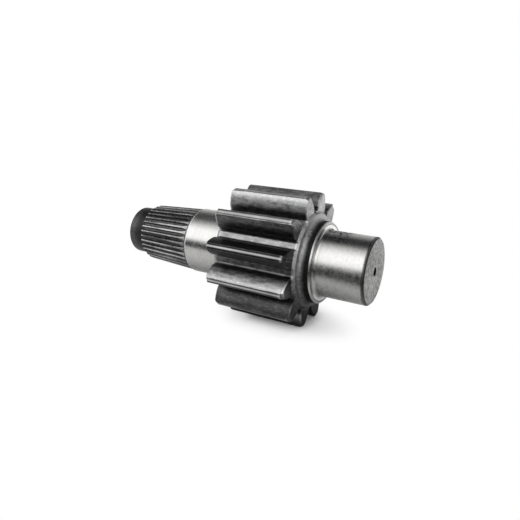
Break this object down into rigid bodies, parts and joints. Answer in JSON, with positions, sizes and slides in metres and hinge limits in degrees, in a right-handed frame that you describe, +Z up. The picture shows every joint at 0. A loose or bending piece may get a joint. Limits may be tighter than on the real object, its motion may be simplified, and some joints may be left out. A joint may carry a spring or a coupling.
{
  "type": "pinion gear",
  "caption": "Spur pinion cut on a heavy drive shaft, with a bearing journal on each side and a taper spline with a plain stub at one end.",
  "frame": {"origin": "on the floor under the middle of the shaft's length, with two neighbouring teeth standing on the floor", "axes": "+X along the shaft towards the front journal, away from the spline; +Z up"},
  "size_m": [0.301, 0.1404, 0.1404],
  "materials": {
    "steel": "hardened steel: bright ground journals, satin tooth faces, dark oxide on spline, stub and tooth ends"
  },
  "bodies": {
    "root": {"pinion_shaft": "steel"}
  },
  "joints": []
}
